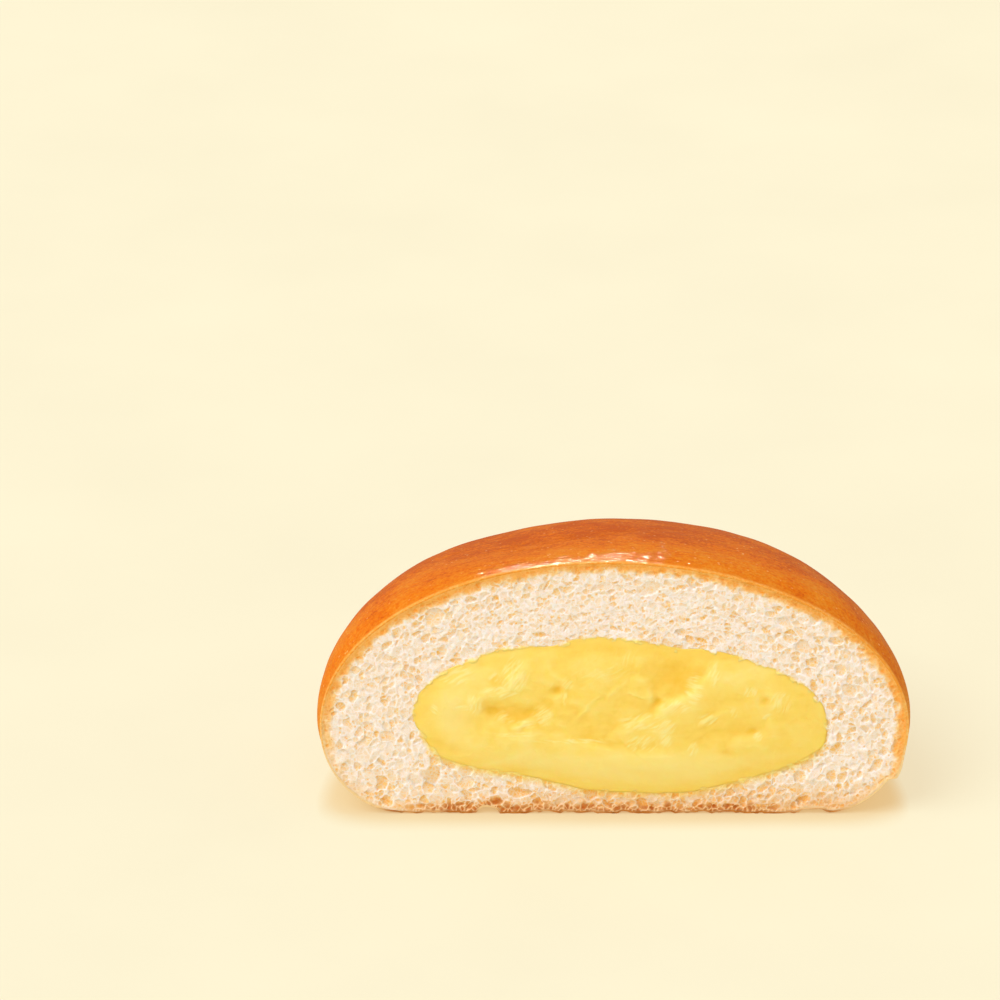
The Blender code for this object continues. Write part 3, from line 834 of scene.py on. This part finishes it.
def largestCells():  # small under the crust and above the custard, large near the base
    low = fade(9, 16, gridZ)
    dense = rise(30, 36, gridZ) * rise(3.5, 7, fromCrust)
    dense = dense * fade(22, 34, np.abs(gridX))
    atCrust, inside, atBase, above = crumbForm["largest"]
    return atCrust + (inside + atBase * low) * rise(0.5, 2.4, fromCrust) - above * dense


def packCells():  # the large cells first, then ever smaller ones in the room left
    rng = np.random.default_rng(crumbForm["seed"])
    crustGap, custardLap = crumbForm["clear"]
    room = np.minimum(fromCrust - crustGap, fromCustard + custardLap)
    largest = largestCells()
    cells = []

    def place(x, z, radius, tone):
        turn, squash = cellStretch(x, z, rng)
        cell = (x, z, radius, turn, squash, tone)
        rows, columns = cellWindow(x, z, radius + 1.6)
        taken = cellDistance(gridX[rows, columns], gridZ[rows, columns], cell)
        room[rows, columns] = np.minimum(room[rows, columns], taken)
        cells.append(cell)

    for named in crumbForm["namedCells"]:
        place(*named)
    for radius, most in crumbForm["cells"]:
        rows, columns = np.nonzero((room > crumbForm["fit"] * radius) & (largest >= radius) & inCrumb)
        count = 0
        for pick in rng.permutation(len(rows)):
            row, column = rows[pick], columns[pick]
            if room[row, column] < crumbForm["fit"] * radius:
                continue
            tone = rng.random() ** crumbForm["paleness"]
            place(gridX[row, column], gridZ[row, column], radius * rng.uniform(0.88, 1.1), tone)
            count += 1
            if count >= most:
                break
    return cells


def cellRelief(cells):  # how open each point is, its relief, and how golden its cell's floor is painted as shade of its depth
    x = gridX + wavesAt(gridX, gridZ, crumbForm["warps"], 40)
    z = gridZ + wavesAt(gridX, gridZ, crumbForm["warps"], 50)
    first = np.full(x.shape, 9.0)
    second = np.full(x.shape, 9.0)
    owner = np.zeros(x.shape, dtype=int)
    for number, cell in enumerate(cells):
        rows, columns = cellWindow(cell[0], cell[1], cell[2] + 1.7)
        away = cellDistance(x[rows, columns], z[rows, columns], cell)
        near = first[rows, columns]
        closer = away < near
        second[rows, columns] = np.where(closer, near, np.minimum(second[rows, columns], away))
        owner[rows, columns] = np.where(closer, number, owner[rows, columns])
        first[rows, columns] = np.where(closer, away, near)
    cellX, cellZ, radius, tone = (np.array(cells)[owner, column] for column in (0, 1, 2, 5))
    shallow, deeper = crumbForm["cellDepth"]
    depth = radius * (shallow + deeper * tone)
    opened = rise(0, crumbForm["wallFade"], (second - first) / 2.0)
    opened = opened * (1.0 - 0.3 * rise(0.12, 0.4, first))
    bowl = 0.7 + 0.3 * rise(0, 0.9, -first / radius)
    rng = np.random.default_rng(crumbForm["seed"] + 1)
    slopes = rng.normal(0.0, crumbForm["floorSlope"], (len(cells), 2))[owner]
    slope = slopes[..., 0] * (x - cellX) + slopes[..., 1] * (z - cellZ)
    return opened, opened * (depth * bowl + slope), tone * bowl


def makeCrumb():
    cells = packCells()
    print("crumb:", len(cells), "cells")
    opened, relief, tone = cellRelief(cells)
    packed = rise(0.2, 0.8, fromCrust)
    knife = 0.1 * layeredNoise(gridX, gridZ, 5.0, 71) + 0.05 * cutNoise(0.8, 75)
    torn = 0.05 * (1.0 - opened) * cutNoise(0.5, 76)
    y = knife + torn + relief * packed
    packed = packed * rise(-0.3, 0.9, fromCustard)

    # The crumb laps unevenly over the custard's rim, then dives behind it, and meets the crust flush.
    lap = wavesAt(gridX, gridZ, crumbForm["lapWaves"], 77)
    lap = lap * fade(0.25, 0.6, np.abs(fromCustard)) * (0.45 + 0.55 * rise(15, 24, gridZ))
    lap = lap - 0.05 * fade(0.6, 2.4, fromCustard) + 0.13 * fade(-0.6, 0.6, fromCustard)
    y = (y + 0.1) * rise(0.1, 1.4, fromCustard) + 0.1 * fade(0.5, 1.6, fromCustard) + lap
    y = y * rise(0.3, 1, fromCrust) + 0.02 * fade(0.15, 0.38, fromCrust)
    y = y + 1.1 * fade(-0.72, -0.45, fromCustard)
    y = np.minimum(y, crumbForm["back"] - 0.15)

    # What the crumb's material reads: the cells' depths, which it paints as golden shade, and how close the
    # crust, custard and base are.
    uneven = 0.55 * cutNoise(1.3, 81) + 0.3 * cutNoise(0.5, 84)
    glowHeight = np.where(gridX < 0.0, rise(8, 24, gridZ), rise(3, 14, gridZ))
    lowest, low = fade(2, 9, gridZ), fade(10, 16, gridZ)
    start, end = crumbForm["browned"]
    along = rise(start, start + 8.0, gridX) * fade(end - 14.0, end, gridX)
    crusty = fade(0.3, 2.6, fromCrust + 1.2 * uneven) * along * (0.25 + 0.75 * opened)
    toasted = 0.24 * fade(1.5, 6.5, gridZ + uneven) * rise(-26, -12, gridX)
    marks = {
        # painted shade of the cells' depth: more in open and golden cells and low down
        "cellDepth": np.clip(0.02 + (0.2 + 0.6 * tone + 0.16 * lowest) * opened * packed, 0.0, 1.0),
        "nearCrust": fade(0.7, 2.4, fromCrust + uneven) * (0.25 + 0.75 * glowHeight),
        "nearCustard": fade(0.1, 0.8 + 1.6 * low, fromCustard + 0.5 * uneven),
        "browned": np.maximum(crusty, toasted) * fade(5, 8, gridZ),
        "open": packed,
        "wall": (1.0 - opened) * rise(0.9, 1.6, fromCrust) * rise(0.3, 0.8, fromCustard),
    }
    numbers = np.where(inCrumb, np.arange(gridX.size).reshape(gridX.shape), -1)
    faces = np.array(gridFaces(numbers))
    used, faces = np.unique(faces[faces.min(axis=1) >= 0], return_inverse=True)
    points = np.stack([gridX, y, gridZ], axis=-1).reshape(-1, 3)[used]
    marks = {mark: values.reshape(-1)[used] for mark, values in marks.items()}
    return closeSheet("crumb", points, faces.reshape(-1, 4), marks)


def sortFaces(shape, first):  # the walls' and the back's own order isn't the same in each run
    shape.verts.index_update()
    shape.faces.index_update()
    added = list(shape.faces)[first:]
    added.sort(key=lambda face: sorted(corner.index for corner in face.verts))
    for number, face in enumerate(added, first):
        face.index = number
    shape.faces.sort()


def closeSheet(name, points, faces, marks):  # gives the sheet side walls and a flat back
    mesh = bpy.data.meshes.new(name)
    mesh.from_pydata(points.tolist(), [], faces.tolist())
    addMarks(mesh, marks)
    shape = bmesh.new()
    shape.from_mesh(mesh)
    border = [edge for edge in shape.edges if edge.is_boundary]
    walls = bmesh.ops.extrude_edge_only(shape, edges=border)["geom"]
    for part in walls:
        if isinstance(part, bmesh.types.BMVert):
            part.co.y = crumbForm["back"]
    backEdges = [part for part in walls if isinstance(part, bmesh.types.BMEdge) and part.is_boundary]
    bmesh.ops.triangle_fill(shape, edges=backEdges, use_beauty=False)
    sortFaces(shape, len(faces))
    bmesh.ops.recalc_face_normals(shape, faces=shape.faces)
    for corner in shape.verts:
        corner.co = Vector((corner.co + Vector(frameShift)) * mm)
    print(name, "open edges:", sum(1 for edge in shape.edges if not edge.is_manifold))
    shape.to_mesh(mesh)
    shape.free()
    return addPiece(name, mesh, crumbMaterial)


crumb = makeCrumb()
print("crumb:", len(crumb.data.polygons), "faces")


# The custard: a torn face of folds, ledges and pits, closed behind.
def alongLine(x, z, points):  # distance from the line, plus on its right, and a fade at its ends
    nearest = np.full(x.shape, farAway)
    side = np.zeros(x.shape)
    place = np.zeros(x.shape)
    line = np.array(points)
    lengths = np.hypot(*np.diff(line, axis=0).T)
    starts = np.concatenate([[0.0], np.cumsum(lengths)])
    for (ax, az), (bx, bz), length, start in zip(line, line[1:], lengths, starts):
        along = ((x - ax) * (bx - ax) + (z - az) * (bz - az)) / length
        held = np.clip(along, 0.0, length)
        offX, offZ = x - ax - held * (bx - ax) / length, z - az - held * (bz - az) / length
        away = np.hypot(offX, offZ)
        closer = away < nearest
        nearest = np.where(closer, away, nearest)
        side = np.where(closer, offX * (bz - az) - offZ * (bx - ax), side)
        place = np.where(closer, (start + held) / starts[-1], place)
    wander = wavesAt(x, z, filling["wander"], 90)
    ends = rise(0, 0.2, place) * fade(0.8, 1, place)
    return np.where(side >= 0.0, nearest, -nearest) + wander, ends


def tornFlow(x, z):  # how torn the custard is, and the place along and across its wrinkles
    torn = np.zeros(x.shape)
    flow = np.zeros(x.shape + (3,))
    slideAlong, slideAside = 0.5 * noiseAt(x, 0.0, z, 2.6, 99), 0.4 * noiseAt(x, 0.0, z, 2.8, 101)
    for number, patch in enumerate(filling["strokes"]):
        patchX, patchZ, halfLength, halfHeight, direction, strength = patch
        along, aside = turned(x, z, math.radians(direction))
        mask = strength * np.exp(-(((x - patchX) / halfLength) ** 2) - ((z - patchZ) / halfHeight) ** 2)
        own = (along + slideAlong) / 5.0, aside + slideAside, np.full(x.shape, float(number))
        flow = np.where((mask > torn)[..., None], np.stack(own, axis=-1), flow)
        torn = np.maximum(torn, mask)
    return rise(0.06, 0.6, torn), flow


def custardRelief(x, z):  # plus is out of the cut
    total = 0.0
    for points, lift, width, reach in filling["ledges"]:
        away, ends = alongLine(x, z, points)
        total = total + lift * rise(-width, width, away) * bell(np.clip(away, 0.0, None), reach) * ends
    for points, height, halfWidth in filling["ridges"]:
        away, ends = alongLine(x, z, points)
        total = total + height * bell(away, halfWidth) * ends
    for swellX, swellZ, halfLength, halfHeight, height, slant in filling["swells"]:
        along, aside = turned(x - swellX, z - swellZ, math.radians(slant))
        total = total + height * np.exp(-((along / halfLength) ** 2) - (aside / halfHeight) ** 2)
    for pitX, pitZ, radius, depth in filling["pits"]:
        away = np.hypot(x - pitX, (z - pitZ) * 1.15)
        total = total - depth * np.exp(-((away / radius) ** 2) * 0.8)
    lively = rise(10.5, 14.5, z + 1.8 * noiseAt(x, 0.0, z, 7.0, 97))
    total = total + 0.18 * layeredNoise(x, z, 5.0, 92) * (0.4 + 0.6 * lively)
    return total + 0.04 * layeredNoise(x, z, 1.2, 98) * lively


def discTurns(u, v):  # a square's points on a disc, as share of the radius and turn
    wide = np.abs(u) >= np.abs(v)
    share = np.where(wide, u, v)
    ratio = np.where(wide, v, u) / np.where(np.abs(share) < 1e-9, 1.0, share)
    turn = np.where(wide, ratio * math.pi / 4.0, math.pi / 2.0 - ratio * math.pi / 4.0)
    return np.abs(share), np.where(share < 0.0, turn + math.pi, turn)


def makeCustard():
    u, v = np.meshgrid(*(np.linspace(-1.0, 1.0, filling[side]) for side in ("columns", "rows")))
    share, turn = discTurns(u, v)
    waver = noiseAt(np.cos(turn) * 30.0, 5.0, np.sin(turn) * 14.0, 1.7, 140)
    ragged = 1.0 + share**8 * (filling["ragged"] * waver)
    flat = custardOutline(turn, share * ragged)
    x, z = flat[..., 0], flat[..., 1]
    relief = custardRelief(x, z)
    torn, flow = tornFlow(x, z)
    y = filling["rimSink"] * share**12 - filling["swell"] * (1.0 - share**3)
    y = y - filling["boldness"] * relief * (1.0 - share**6)
    smooth = y.copy()
    for _ in range(filling["smoothings"]):
        inner = smooth[1:-1, 1:-1]
        around = smooth[:-2, 1:-1] + smooth[2:, 1:-1] + smooth[1:-1, :-2] + smooth[1:-1, 2:]
        inner += 0.25 * (around - 4.0 * inner)
    # Painted shade and light: darker in the hollows, lighter on the ridges.
    reliefShading = 0.5 + 2.0 * (smooth - y) + 0.3 * np.clip(relief, -1.4, 0.8)
    # Painted light on the smooth lower band that faces up and out; the left part is paler as well.
    calm = fade(10.5, 13.5, z + 1.2 * noiseAt(x, 0.0, z, 7.0, 97))
    calm = np.maximum(0.45 * calm, fade(-31, -20, x))
    litBand = 0.9 * calm * rise(0.02, 0.2, 1.0 - share)
    rows, columns = x.shape
    numbers = np.arange(rows * columns).reshape(rows, columns)
    edge = np.concatenate([numbers[0, :-1], numbers[:-1, -1], numbers[-1, :0:-1], numbers[:0:-1, 0]])
    points, faces = [np.stack([x, y, z], axis=-1).reshape(-1, 3)], gridFaces(numbers)
    skirt = list(filling["skirt"])
    for fall in np.linspace(0.1, math.pi / 2.0, filling["backRings"] + 1)[:-1]:
        skirt.append((0.0, filling["depth"] * math.sin(fall), math.cos(fall)))
    edgeTurn, edgeRagged = turn.reshape(-1)[edge], ragged.reshape(-1)[edge]
    rings = []
    for grow, depth, size in skirt:
        rings.append(behindCut(custardOutline(edgeTurn, size * edgeRagged, grow), depth))
    points = closeBehind(points, faces, edge, rings, filling["depth"])
    shown = {"relief": np.clip(reliefShading, 0.0, 1.0), "litBand": litBand, "torn": torn}
    marks = {"flow": np.zeros((len(points), 3))}
    marks["flow"][:rows * columns] = flow.reshape(-1, 3)
    for mark, values in shown.items():
        marks[mark] = np.full(len(points), 0.4 if mark == "relief" else 0.0)
        marks[mark][:rows * columns] = values.reshape(-1)
    return makePiece("custardFilling", points, faces, custardMaterial, marks)


custard = makeCustard()
print("custard:", len(custard.data.polygons), "faces")


# Torn bits of crumb that stand on the cell walls.
flakeForm = {
    "density": 0.95,  # flakes a square millimetre of wall
    "size": 0.2,
    "sizes": (0.45, 1.5),  # the smallest and the largest, as shares of that size
    "stretch": (1, 0.34, 0.22),
    "seed": 5,
}


def flakeTree():
    tree = bpy.data.node_groups.new("torn flakes", "GeometryNodeTree")
    face = tree.interface
    face.new_socket("Crumb", in_out="INPUT", socket_type="NodeSocketGeometry")
    for name, kind in (("Density", "Float"), ("Flake Size", "Float"), ("Seed", "Int")):
        face.new_socket(name, in_out="INPUT", socket_type="NodeSocket" + kind)
    face.new_socket("Flakes", in_out="OUTPUT", socket_type="NodeSocketGeometry")
    given = tree.nodes.new("NodeGroupInput").outputs
    wall = addNode(tree, "GeometryNodeInputNamedAttribute", {"Name": "wall"})["Attribute"]
    density = addMath(tree, "MULTIPLY", wall, given["Density"])
    inputs = {"Mesh": given["Crumb"], "Density": density, "Seed": given["Seed"]}
    scatter = addNode(tree, "GeometryNodeDistributePointsOnFaces", inputs)
    ball = addNode(tree, "GeometryNodeMeshIcoSphere", {"Radius": given["Flake Size"], "Subdivisions": 2})
    inputs = {"Geometry": ball["Mesh"], "Scale": flakeForm["stretch"]}
    strip = addNode(tree, "GeometryNodeTransform", inputs)["Geometry"]
    inputs = {"Min": (0.0, 0.0, 0.0), "Max": (6.28, 6.28, 6.28), "Seed": given["Seed"]}
    turn = addNode(tree, "FunctionNodeRandomValue", inputs, data_type="FLOAT_VECTOR")["Value"]
    smallest, largest = flakeForm["sizes"]
    inputs = {2: smallest, 3: largest, "Seed": given["Seed"]}
    size = addNode(tree, "FunctionNodeRandomValue", inputs, data_type="FLOAT")[1]
    inputs = {"Points": scatter["Points"], "Instance": strip, "Rotation": turn, "Scale": size}
    placed = addNode(tree, "GeometryNodeInstanceOnPoints", inputs)["Instances"]
    real = addNode(tree, "GeometryNodeRealizeInstances", {"Geometry": placed})["Geometry"]
    inputs = {"Geometry": real, "Material": crumbMaterial}
    done = addNode(tree, "GeometryNodeSetMaterial", inputs)["Geometry"]
    tree.links.new(done, tree.nodes.new("NodeGroupOutput").inputs["Flakes"])
    return tree


def makeFlakes():
    tree = flakeTree()
    holder = addObject("flakeHolder", crumb.data)
    growth = holder.modifiers.new("flakes", "NODES")
    growth.node_group = tree
    sizes = {"Density": flakeForm["density"] / mm**2, "Flake Size": flakeForm["size"] * mm}
    sizes["Seed"] = flakeForm["seed"]
    for item in tree.interface.items_tree:
        if item.in_out == "INPUT" and item.name in sizes:
            growth[item.identifier] = sizes[item.name]
    shown = holder.evaluated_get(bpy.context.evaluated_depsgraph_get())
    mesh = bpy.data.meshes.new_from_object(shown)
    bpy.data.objects.remove(holder)
    return addPiece("crumbFlakes", mesh)


flakes = makeFlakes()
print("flakes:", len(flakes.data.polygons), "faces")

for piece, node in ((crust, "bread"), (crumb, "bread"), (flakes, "bread"), (custard, "custard")):
    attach(piece, "root")
    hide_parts(node)

# The studio: a pale floor, a soft key light from the upper left, and a wide light above.
studio = {
    "floorLit": (0.279, 0.307, 0.234, 1),  # the part of the floor's colour that shadows darken
    "floorGlow": (0.684, 0.575, 0.394, 1),  # and the part that they leave, so that shadows are warm
    "floorContactShadow": (0.61, 0.4, 0.18, 1),  # the same, darkened into a painted contact shadow where the bun all but touches it
    "contactShadowReach": 7,  # how far from the bun that painted shadow reaches
    "contactShadowFade": (0.68, 1),  # how open the floor is where the painted shadow starts and ends
    "fibre": (0.02, (-4, 1)),  # waves of the paper a millimetre, and their faintness
    "floorSurface": {"Roughness": 0.9, "Specular IOR Level": 0.0},
    "floorSize": 8,
    "sky": ((0, 0.93), (0.3, 0.8), (1, 0.7)),  # height above the horizon, brightness
    "roomInGloss": 0.45,  # the share of the sky and the floor that the gloss shows
    "skyTint": (1, 0.97, 0.96),
    "keyTint": (0.97, 0.97, 1.06),
    "keyFrom": (-0.62, -0.4, 1),
    "keyStrength": 2,
    "keySoftness": 45,
    "glints": {  # lamps that shine only in the glaze and the custard: size, place, power, tint
        "backGlint": ((0.44, 0.06), (-0.1, 0.72, 0.66), 24, (1, 0.88, 0.66)),
        "frontGlint": ((0.3, 0.24), (-0.42, -0.62, 0.72), 4, (1, 1, 1)),
    },
}


def dimInGloss(tree):  # 1, or less where the gloss looks
    gloss = addNode(tree, "ShaderNodeLightPath")["Is Glossy Ray"]
    return addMath(tree, "MULTIPLY_ADD", gloss, studio["roomInGloss"] - 1.0, 1.0)


def makeFloor():
    mesh = bpy.data.meshes.new("floor")
    half = studio["floorSize"] / 2.0
    corners = [(-half, -half, 0.0), (half, -half, 0.0), (half, half, 0.0), (-half, half, 0.0)]
    mesh.from_pydata(corners, [], [(0, 1, 2, 3)])
    material, tree, surface = newMaterial("floor paper")
    scale, faintness = studio["fibre"]
    shown = dimInGloss(tree)
    lit = addMath(tree, "MULTIPLY", spread(tree, addNoise(tree, scale), *faintness), shown)
    # A painted contact shadow in the floor's glow, darker and warmer where the bun hems it in.
    inputs = {"Distance": studio["contactShadowReach"] * mm}
    openness = spread(tree, addNode(tree, "ShaderNodeAmbientOcclusion", inputs)["AO"], *studio["contactShadowFade"])
    setInputs(tree, surface, studio["floorSurface"] | {
        "Base Color": mixColour(tree, lit, (0.0, 0.0, 0.0, 1.0), studio["floorLit"]),
        "Emission Color": mixColour(tree, openness, studio["floorContactShadow"], studio["floorGlow"]),
        "Emission Strength": shown,
    })
    mesh.materials.append(material)
    addObject("floor", mesh)


def addLamp(name, kind, power, tint, toward):
    light = bpy.data.lights.new(name, kind)
    light.energy = power
    light.color = tint
    lamp = addObject(name, light)
    lamp.rotation_euler = Vector(toward).to_track_quat("Z", "Y").to_euler()
    return lamp


def makeLights():
    world = bpy.data.worlds.new("soft room")
    scene.world = world
    world.use_nodes = True
    tree = world.node_tree
    place = addNode(tree, "ShaderNodeTexCoord")["Generated"]
    height = addNode(tree, "ShaderNodeSeparateXYZ", {"Vector": place})["Z"]
    stops = []
    for level, brightness in studio["sky"]:
        stops.append((level, tuple(part * brightness for part in studio["skyTint"]) + (1.0,)))
    sky = {"Color": addRamp(tree, height, stops), "Strength": dimInGloss(tree)}
    setInputs(tree, tree.nodes["Background"], sky)
    key = addLamp("key", "SUN", studio["keyStrength"], studio["keyTint"], studio["keyFrom"])
    key.data.angle = math.radians(studio["keySoftness"])
    for name, (size, place, power, tint) in studio["glints"].items():
        lamp = addLamp(name, "AREA", power, tint, place)
        lamp.data.shape = "RECTANGLE"
        lamp.data.size, lamp.data.size_y = size
        lamp.location = place
        lamp.visible_diffuse = False


photoCamera = {
    "elevation": 26,
    "distance": 1000,
    "focal": 210.5,
    "sensor": 36,
    "aim": (-19.42, 53.62),  # to the right and up in the picture, from the middle of the cut's foot
}


def makeCamera():
    tilt = math.radians(photoCamera["elevation"])
    toward = np.array([0.0, math.cos(tilt), -math.sin(tilt)])
    up = np.array([0.0, math.sin(tilt), math.cos(tilt)])
    aimRight, aimUp = photoCamera["aim"]
    aim = np.array([aimRight, 0.0, 0.0]) + up * aimUp
    camera = addObject("camera", bpy.data.cameras.new("camera"))
    camera.data.lens = photoCamera["focal"]
    camera.data.sensor_width = photoCamera["sensor"]
    camera.location = Vector((aim - toward * photoCamera["distance"] + frameShift) * mm)
    camera.rotation_euler = (math.pi / 2.0 - tilt, 0.0, 0.0)
    scene.camera = camera


makeFloor()
makeLights()
makeCamera()
scene.view_settings.view_transform = "Standard"
print("studio ready")
